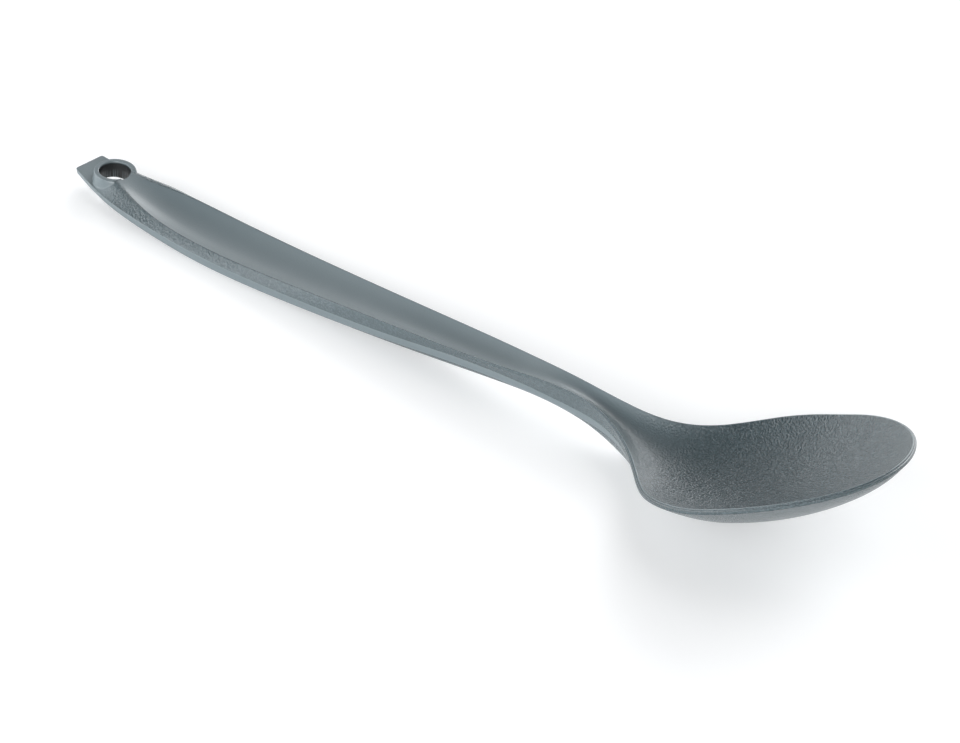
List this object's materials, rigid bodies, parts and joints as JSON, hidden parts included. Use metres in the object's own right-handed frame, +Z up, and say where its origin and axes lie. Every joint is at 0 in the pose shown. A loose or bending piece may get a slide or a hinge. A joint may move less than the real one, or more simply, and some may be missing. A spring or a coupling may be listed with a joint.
{
  "type": "camping spoon",
  "caption": "Long-handled camp cooking spoon in grey moulded plastic, with a deep tilted bowl, a slim waisted neck, a troughed handle and a ringed hanging eye at the tail.",
  "frame": {"origin": "bottom centre of the box round the spoon as it lies: midway between tail and tip, on the mirror plane, on the surface it lies on", "axes": "+X along the spoon from the hanging eye to the tip of the bowl, +Y across it, +Z up, out of the open side of the bowl"},
  "size_m": [0.2584, 0.054, 0.0305],
  "materials": {
    "grey_nylon": "glass-filled nylon, satin smooth in the trough, fine spark-eroded grain in the bowl and on the flanks"
  },
  "bodies": {
    "root": {"hanging_eye": "grey_nylon", "handle": "grey_nylon", "neck": "grey_nylon", "bowl": "grey_nylon"}
  },
  "joints": []
}
